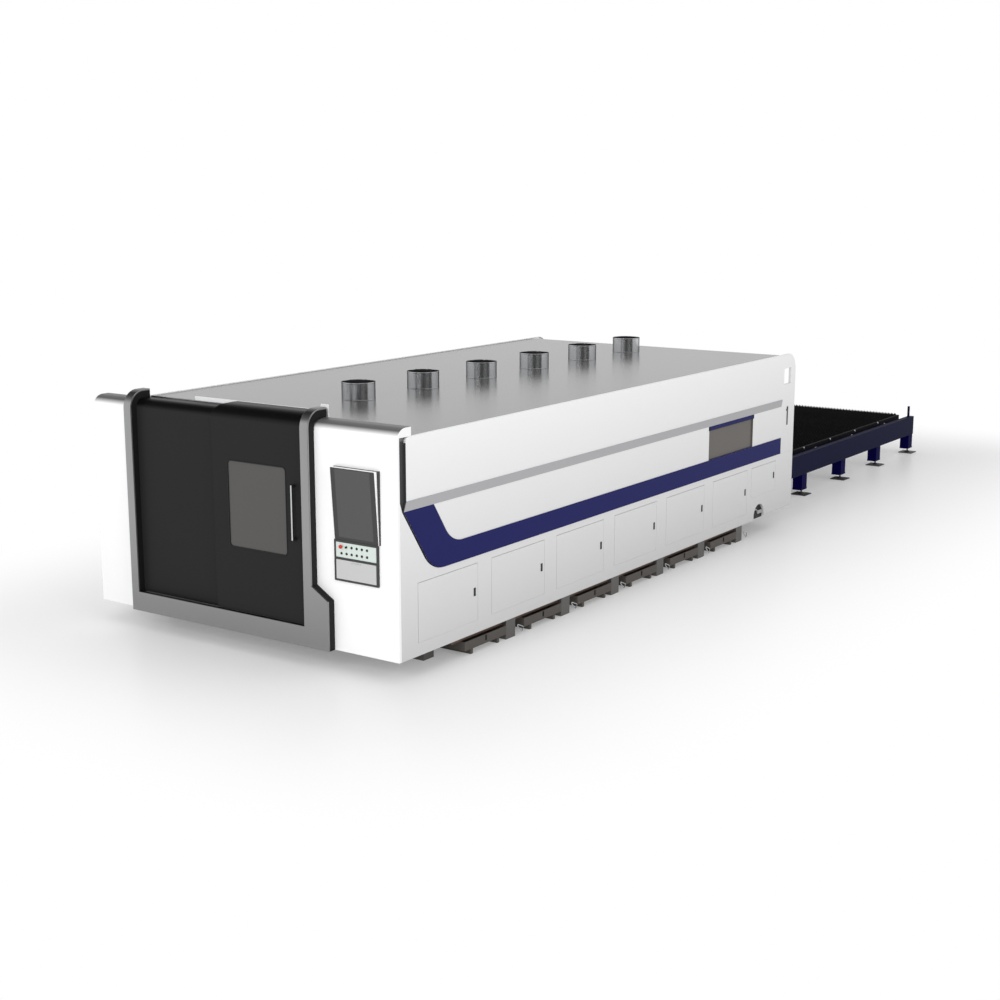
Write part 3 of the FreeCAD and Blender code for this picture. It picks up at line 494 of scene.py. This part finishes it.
world = bpy.data.worlds.new("studio")
world.use_nodes = True
scene.world = world
tree = world.node_tree
ambient = tree.nodes["Background"]
ambient.inputs["Color"].default_value = (1, 1, 1, 1)
ambient.inputs["Strength"].default_value = 0.62
backdrop = tree.nodes.new("ShaderNodeBackground")
backdrop.inputs["Color"].default_value = (1, 1, 1, 1)
backdrop.inputs["Strength"].default_value = 1.0
rays = tree.nodes.new("ShaderNodeLightPath")
seen = tree.nodes.new("ShaderNodeMath")
seen.operation = "ADD"
shown = tree.nodes.new("ShaderNodeMath")
shown.operation = "ADD"
shown.use_clamp = True
mix = tree.nodes.new("ShaderNodeMixShader")
tree.links.new(rays.outputs["Is Camera Ray"], seen.inputs[0])
tree.links.new(rays.outputs["Is Glossy Ray"], seen.inputs[1])
tree.links.new(seen.outputs["Value"], shown.inputs[0])
tree.links.new(rays.outputs["Is Transmission Ray"], shown.inputs[1])
tree.links.new(shown.outputs["Value"], mix.inputs["Fac"])
tree.links.new(ambient.outputs["Background"], mix.inputs[1])
tree.links.new(backdrop.outputs["Background"], mix.inputs[2])
tree.links.new(mix.outputs["Shader"], tree.nodes["World Output"].inputs["Surface"])


def lamp(name, place, target, size, power):
    light = bpy.data.lights.new(name, "AREA")
    light.shape = "SQUARE"
    light.size = size
    light.energy = power
    made = bpy.data.objects.new(name, light)
    scene.collection.objects.link(made)
    made.location = place
    made.rotation_euler = (Vector(target) - Vector(place)).to_track_quat("-Z", "Y").to_euler()


lamp("front", (3, -24, 9), (0, -7, 1.2), 8, 1200)
lamp("side", (18, -12, 9), (0, -3, 1.2), 8, 670)


card_black, tree, bsdf = shader("card_black")
bsdf.inputs["Base Color"].default_value = (0.02, 0.02, 0.02, 1)
bsdf.inputs["Roughness"].default_value = 0.9


def card(name, corners):
    """Dark studio card that only shows in reflections."""
    mesh = bpy.data.meshes.new(name)
    mesh.from_pydata(corners, [], [(0, 1, 2, 3)])
    mesh.materials.append(card_black)
    made = bpy.data.objects.new(name, mesh)
    scene.collection.objects.link(made)
    made.visible_camera = False
    made.visible_diffuse = False
    made.visible_transmission = False
    made.visible_shadow = False


card("front_card", [(-4.6, -17.6, 0.02), (19.8, -0.92, 0.02), (19.8, -0.92, 12), (-4.6, -17.6, 12)])
card("top_card", [(-12, -17, 10), (0, -17, 10), (0, -5, 10), (-12, -5, 10)])

# ---------------------------------------------------------------- panels, frames and walls with rounded edges
SOFT = {
    "front_left_panel": 0.004, "front_right_panel": 0.004, "portal_face": 0.004, "portal_core": 0.003,
    "front_door": 0.003, "front_fixed_leaf": 0.003, "right_cladding": 0.0025, "left_cladding": 0.0025,
    "right_side_panel": 0.003, "left_side_panel": 0.003, "rear_wall": 0.003, "side_stripes": 0.0015,
    "side_bands": 0.0015, "side_window_hood": 0.0015, "console_bezel": 0.0025, "console_monitor": 0.005,
    "bed_right_beam": 0.004, "bed_left_beam": 0.004, "bed_cross_tubes": 0.004, "gantry_beam": 0.004,
    "head_saddle": 0.002, "table_beams": 0.006, "table_legs": 0.004, "pallet_tracks": 0.002,
    "keyboard_flap": 0.0025,
}
for node, width in SOFT.items():
    softened(node, width)

# ---------------------------------------------------------------- roof and exhaust collars
plate("roof_panel_skin", [rounded((-2120, 2120), (40, 8880), 1)] + [circle(0, y, 187) for y in COLLARS], 30,
      facing_up(2455), "roof_grey", "machine", ["roof_panel"])
shape = bmesh.new()
# A thin black lining inside each collar covers its steel bore: painted shade inside the ducts.
bores = bmesh.new()
for y in COLLARS:
    turned(bores, [(186.9, -28), (186.9, 188), (186.2, 188), (186.2, -28)], (0, y, ROOF), steps=96, hollow=True)
    turned(shape, [(195, 0), (195, 5), (193.4, 6.5), (193.4, 188), (194.6, 190), (195, 194), (194.4, 198),
                   (191, 200), (188, 199), (187, 196), (187, -29)], (0, y, ROOF), steps=96, hollow=True)
piece("exhaust_collars_skin", shape, "bright_steel", "machine", ["exhaust_collars"])
piece("exhaust_collars_bores", bores, "trim_black", "machine")

# ---------------------------------------------------------------- front door
shape = bmesh.new()
block(shape, (-1446, 991), (130, 250), (2470, 2550), 2)
block(shape, (-1446, 991), (210, 230), (2550, 2599.7), 2)
bar(shape, [(-46, 440), (-34, 440), (-34, 442), (-37, 443), (-37, 445.5), (-43, 445.5), (-43, 443), (-46, 442)],
    (-1446, 991), "x")
piece("door_rails_steel", shape, "bright_steel", "machine", ["door_rails"])
blocks("door_rails_cover", [((-790, 992), (232, 250), (2550, 2640)), ((991, 1090), (232, 250), (2550, 2700))],
       "monitor_white", "machine", soft=3)

plate("front_door_gasket", [rounded((-64, 758), (1134, 2070), 50), rounded((-52, 746), (1146, 2058), 38)], 12,
      facing_front(-57), "trim_black", "front_door")
shape = bmesh.new()
block(shape, (867, 885), (-120, -114), (1330, 1902), 1.5)
piece("front_door_handle_face", shape, "bright_steel", "front_door", ["front_door_handle"])
shape = bmesh.new()
block(shape, (860, 892), (-118.6, -102), (1325, 1907), 3)
for z in (1341, 1891):
    block(shape, (862, 890), (-103, -60), (z - 14, z + 14), 2)
    turned(shape, [(20, 0), (20, 2.5), (18, 4)], (876, -60, z), (0, -1, 0), 32)
piece("front_door_handle_core", shape, "trim_black", "front_door")

# ---------------------------------------------------------------- console
FORWARD, RISE = 54, 745           # how far the monitor leans out over its height, in millimetres
LEAN = math.hypot(FORWARD, RISE)


def leaning(foot):
    """Drawing plane on the monitor: u along X, v up its slope from the foot, outwards from the cabin."""
    return Matrix(((1, 0, 0, 0), (0, -FORWARD / LEAN, -RISE / LEAN, -foot / 1000 - MIDDLE),
                   (0, RISE / LEAN, -FORWARD / LEAN, 1.395), (0, 0, 0, 1)))


plate("console_screen_border", [rounded((1363, 1922), (3, LEAN - 3), 10)], 5, leaning(22.6), "console_grey",
      "machine", ["console_screen"], soft=1)
plate("console_screen_glass", [rounded((1420, 1866), (32, LEAN - 12), 4)], 1.6, leaning(25.2), "screen_dark",
      "machine", soft=0.5)
plate("console_keypad_plate", [rounded((1372.2, 1892.8), (1215.2, 1369.8), 7), circle(1444, 1327, 9.4)], 20,
      facing_front(-10), "keypad_white", "machine", ["console_keypad"], soft=1)
BUTTONS = [(1444 + 66 * k, 1257) for k in range(6)] + [(1444 + 66 * k, 1327) for k in range(2, 6)]
shape = bmesh.new()
for x, z in BUTTONS:
    turned(shape, [(14, 0), (14, 1.6), (13, 2.4), (11.6, 2.4), (11.6, 5), (10.8, 5.8), (8.5, 6)], (x, -20, z),
           (0, -1, 0), 28)
piece("console_buttons", shape, "knob_black", "machine")
shape = bmesh.new()
turned(shape, [(8.8, 0), (8.8, 20), (12, 22), (18.6, 23), (20, 25.5), (20, 29.5), (19, 32.5), (16, 35), (11, 36)],
       (1444, -10, 1327), (0, -1, 0), 48)
piece("emergency_stop_skin", shape, "stop_red", "emergency_stop", ["emergency_stop"])
shape = bmesh.new()
turned(shape, [(11, 0), (11, 9.5), (10, 11.5), (8.5, 12)], (1510, -20.3, 1327), (0, -1, 0), 40)
block(shape, (1506, 1514), (-44.3, -31), (1316, 1338), 2.2)
piece("key_switch_skin", shape, "knob_black", "key_switch", ["key_switch"])
blocks("keyboard_flap_lip", [((1572, 1692), (-29, -24), (1166, 1174))], "bright_steel", "keyboard_flap", soft=1.5)

# ---------------------------------------------------------------- right side: service doors, window and latches
for number, (start, width, low, lift) in enumerate(SERVICE_DOORS, 1):
    end = start + width
    name = "service_door_" + str(number)
    blocks(name + "_leaf", [((2110, SKIN), (start + 4, end - 4), (low + 0.3, 976))], "skirt_white", name, [name],
           2.5)
    middle = end - 63
    plate(name + "_latch", [rounded((middle - 18, middle + 18), (630 + lift, 720 + lift), 5)], 3,
          facing_right(2151.5), "trim_black", name, soft=0.8)
    shape = bmesh.new()
    block(shape, (2152.8, 2156), (middle - 12, middle + 12), (652 + lift, 712 + lift), 1.2)
    turned(shape, [(6, 0), (6, 2.4), (4.6, 3.2)], (2152.8, middle, 641 + lift), (1, 0, 0), 20)
    piece(name + "_lever", shape, "knob_black", name)

blocks("side_window_sill", [((2130.5, 2149.6), (6610.4, 7929.6), (1290.1, 1292))], "band_navy", "machine", soft=0.4)
blocks("side_window_posts", [((2130.5, 2149.6), y, (1292, 1690)) for y in ((6610.2, 6614), (7926, 7929.8))],
       "window_glass", "machine", soft=0.8)
blocks("side_window_hood_lip", [((SKIN, 2156), y, z) for y, z in (((6604, 7936), (1684, 1691)),
                                                                  ((6594, 6620), (1684, 1741)),
                                                                  ((7920, 7946), (1684, 1741)))],
       "portal_black", "machine", soft=2.8)
blocks("fin_latch_skin", [((SKIN, 2156), (9034, 9068), (1455, 1722))], "knob_black", "machine", ["fin_latch"],
       soft=2.5)
shape = bmesh.new()
turned(shape, [(22, 0), (22, 3), (19, 5), (12, 6)], (SKIN, 9052, 1700), (1, 0, 0), 28)
turned(shape, [(13, 0), (13, 3.5), (11, 5.4), (7, 5.9)], (SKIN, 9022, 1676), (1, 0, 0), 24)
piece("fin_latch_knobs", shape, "knob_black", "machine")
CHANNEL = [(40.2, 2439.8, 0), (40.2, 1840, 0), (73, 1742, 0), (536, 1060, 390), (900, 1060, 0), (900, 1061, 0),
           (560, 1061, 390), (98, 1742, 0), (141, 1840, 0), (141, 2439.8, 0)]
EDGE = [(137.6, 2420, 0), (137.6, 1840, 0), (94.6, 1742, 0), (557.6, 1060, 390), (900, 1060, 0), (900, 1060.4, 0),
        (560.4, 1060.4, 390), (97.4, 1742, 0), (140.4, 1840, 0), (140.4, 2420, 0)]
for side, name in ((1, "_right"), (-1, "_left")):
    shape = bmesh.new()
    bar(shape, outline(CHANNEL), sorted((side * 2120, side * 2124)), "x")
    bar(shape, outline(EDGE), sorted((side * 2124, side * 2149.6)), "x")
    piece("channel_liner" + name, shape, "console_grey", "machine")
    blocks("cladding_back_strip" + name, [(sorted((side * 2120.1, side * 2130)), (186, 9040), (2440, 2475))],
           "cladding_white", "machine", soft=0.6)
    shape = bmesh.new()
    bar(shape, outline([(8035, 221, 0), (8035, 440, 170), (8390, 440, 170), (8390, 221, 0)]),
        sorted((side * 2070, side * 2109.8)), "x")
    piece("notch_liner" + name, shape, "trim_black", "machine")
    shape = bmesh.new()
    arch = outline([(8072, 230, 0), (8072, 352, 60), (8235, 352, 60), (8235, 300, 0)], 6)
    wire(shape, [(side * 2114, v, w) for v, w in arch], 9)
    block(shape, sorted((side * 2109, side * 2126)), (8225, 8372), (282, 330), 3)
    piece("notch_bracket" + name, shape, "stripe_grey", "machine")

# ---------------------------------------------------------------- plinths, bows and slag drawers
shape = bmesh.new()
bows = bmesh.new()
for side in (1, -1):
    for index in range(-1, 6):
        centre = FIRST_PLINTH + PLINTH_PITCH * index
        edge = centre + HALF_PLINTH
        x = sorted((side * 1480, side * (2140 if index >= 0 else 1865)))
        block(shape, x, (centre - HALF_PLINTH, edge), (0, 220), 4)
        if index >= 0:
            loop = outline([(edge - 4, 138, 9), (edge + 122, 22, 9), (edge + 146, 78, 9)], 4)
            wire(bows, [(side * 2147, v, w) for v, w in loop], 6.5, closed=True)
piece("bed_plinths_skin", shape, "bed_grey", "machine", ["bed_plinths"])
piece("bed_plinths_bows", bows, "rail_steel", "machine")
for index in range(6):
    name = "slag_drawer_" + str(index + 1)
    softened(name, 0.002)
    before = FIRST_PLINTH + PLINTH_PITCH * (index - 1)
    after = before + PLINTH_PITCH
    middle = (before + HALF_PLINTH + 176 + after - HALF_PLINTH - 0.3) / 2
    blocks(name + "_tab", [((2139, 2146), (middle - 8.6, middle + 8.6), (92, 152.6))], "trim_black", name, soft=1.2)
    near = before + HALF_PLINTH + 2
    for side, suffix in ((1, "_right"), (-1, "_left")):
        blocks("bed_apron_" + str(index + 1) + suffix,
               [(sorted((side * 2084, side * 2092)), (near, near + 942), (166, 219.6))], "drawer_grey",
               "machine", soft=2)

# ---------------------------------------------------------------- bed rails and racks
shape = bmesh.new()
for side in (1, -1):
    section = [(-23, 0), (23, 0), (23, 12), (17, 17), (17, 23), (23, 28), (23, 37), (20, 40), (-20, 40), (-23, 37),
               (-23, 28), (-17, 23), (-17, 17), (-23, 12)]
    bar(shape, [(side * 1645 + u, 1000 + v) for u, v in section], (550, 8750))
    for k in range(82):
        turned(shape, [(7, 0), (7, 0.2), (4, 0.2)], (side * 1645, 600 + 100 * k, 1039.9), steps=10)
piece("bed_guide_rails_skin", shape, "rail_steel", "machine", ["bed_guide_rails"])
shape = bmesh.new()
teeth = [(550, 1000), (550, 1022)]
for k in range(410):
    y = 550 + 20 * k
    teeth += [(y + 3, 1022), (y + 7, 1030), (y + 13, 1030), (y + 17, 1022)]
teeth += [(8750, 1022), (8750, 1000)]
for side in (1, -1):
    bar(shape, teeth, sorted((side * 1540, side * 1570)), "x")
piece("bed_gear_racks_skin", shape, "rail_steel", "machine", ["bed_gear_racks"])

# ---------------------------------------------------------------- gantry, saddle and cutting head
shape = bmesh.new()
for level in (1185, 1380):
    section = [(1450, level - 15), (1450, level + 15), (1440, level + 15), (1437, level + 11), (1433, level + 11),
               (1430, level + 15), (1427, level + 15), (1425, level + 13), (1425, level - 13), (1427, level - 15),
               (1430, level - 15), (1433, level - 11), (1437, level - 11), (1440, level - 15)]
    bar(shape, section, (-1500, 1500), "x")
piece("gantry_cross_rails_skin", shape, "rail_steel", "gantry", ["gantry_cross_rails"])
for x in (-1640, 1640):
    shape = bmesh.new()
    for y in (1360, 1480, 1720, 1840):
        for across in (-55, 55):
            bolt(shape, (x + across, y, 1139.9), (0, 0, 1), 18, 8)
    piece("gantry_bolts_" + ("left" if x < 0 else "right"), shape, "trim_black", "gantry")
shape = bmesh.new()
block(shape, (-90, 90), (1284.4, 1394.4), (1180, 1340), 6)
block(shape, (-84, 84), (1288.4, 1394.4), (1338, 1480), 4)
block(shape, (-90, 90), (1284.4, 1394.4), (1478, 1560), 6)
block(shape, (-60, 60), (1284.4, 1292.4), (1362, 1462), 3)
turned(shape, [(30, 0), (45, 6), (45, 90), (43, 94), (43, 118), (45, 122), (45, 212), (40, 220)], (0, 1339.4, 960),
       steps=48)
piece("cutting_head_skin", shape, "head_dark", "head", ["cutting_head"])
shape = bmesh.new()
turned(shape, [(5, 0), (8, 1), (14, 22), (16, 24), (16, 36), (34, 60), (44, 84), (44, 91)], (0, 1339.4, 870),
       steps=48)
piece("cutting_head_nozzle", shape, "rail_steel", "head")

# ---------------------------------------------------------------- pallets
for name, start, base in (("upper_pallet", 9640, 590), ("lower_pallet", 1550, 350)):
    step = (PALLET_LENGTH - CROSS_TUBE) / 3
    beam = PALLET_HALF_WIDTH + PALLET_BEAM
    limits = [(tuple(sorted((side * PALLET_HALF_WIDTH, side * beam))), (start, start + PALLET_LENGTH),
               (base, base + 125)) for side in (1, -1)]
    limits += [((-PALLET_HALF_WIDTH, PALLET_HALF_WIDTH), (start + step * k, start + step * k + CROSS_TUBE),
                (base, base + CROSS_TUBE)) for k in range(4)]
    blocks(name + "_frame_skin", limits, "pallet_steel", name, [name + "_frame"], 4)
    shape = bmesh.new()
    for side in (1, -1):
        for k in range(4):
            turned(shape, [(30, 0), (34.2, 3), (34.2, 20), (31, 22), (31, 26), (16, 27), (16, 29.5), (11, 30)],
                   (side * beam, start + 1512.5 * (k + 0.5), base + 34.64), (side, 0, 0), 40)
        for k in range(5):
            turned(shape, [(19, 0), (19, 4), (15, 5), (15, 13), (12, 15)],
                   (side * beam, start + 767 + 1057 * k, base + 108), (side, 0, 0), 24)
    piece(name + "_wheels", shape, "rail_steel", name)
    shape = bmesh.new()
    edge = [(SLAT_HALF_LENGTH, base + CROSS_TUBE), (-SLAT_HALF_LENGTH, base + CROSS_TUBE)]
    for tooth in range(TEETH_PER_SLAT):
        left = -SLAT_HALF_LENGTH + 2 * SLAT_HALF_LENGTH * tooth / TEETH_PER_SLAT
        edge += [(left, base + 122), (left + 20, base + 150), (left + 29, base + 155), (left + 38, base + 150)]
    edge.append((SLAT_HALF_LENGTH, base + 122))
    for k in range(SLAT_COUNT):
        y = start + 30 + (PALLET_LENGTH - CROSS_TUBE) * k / (SLAT_COUNT - 1)
        bar(shape, edge, (y - 1.5, y + 1.5))
    piece(name + "_slats_skin", shape, "slat_steel", name, [name + "_slats"])

# ---------------------------------------------------------------- exchange table
shape = bmesh.new()
feet = bmesh.new()
for side in (1, -1):
    for k in range(5):
        centre = (side * TABLE_BEAM_MIDDLE, TABLE_END - 30 - LEG_PITCH * k - 95)
        block(feet, *((c - FOOT_HALF, c + FOOT_HALF) for c in centre), (0, 15), 3)
        turned(feet, [(55, 0), (55, 3), (42, 10), (22, 20), (17, 25), (15, 26)], (*centre, 14.9), steps=40)
        thread = []
        for turn in range(10):
            thread += [(12, 2.4 * turn), (14, 2.4 * turn + 1.2)]
        turned(shape, [(12, -1)] + thread + [(12, 25), (12, 28)], (*centre, 40), steps=24)
        turned(shape, [(23, 0), (25, 1.5), (25, 13.5)], (*centre, 66.4), steps=6)
piece("table_feet_pads", feet, "foot_grey", "machine", ["table_feet"])
piece("table_feet_bolts", shape, "rail_steel", "machine")
shape = bmesh.new()
turned(shape, [(25, 0), (25, 4), (21, 5), (21, 186), (18, 193), (12, 195)], (1477.5, 15900, 660), steps=36)
piece("table_end_post_skin", shape, "table_navy", "machine", ["table_end_post"])
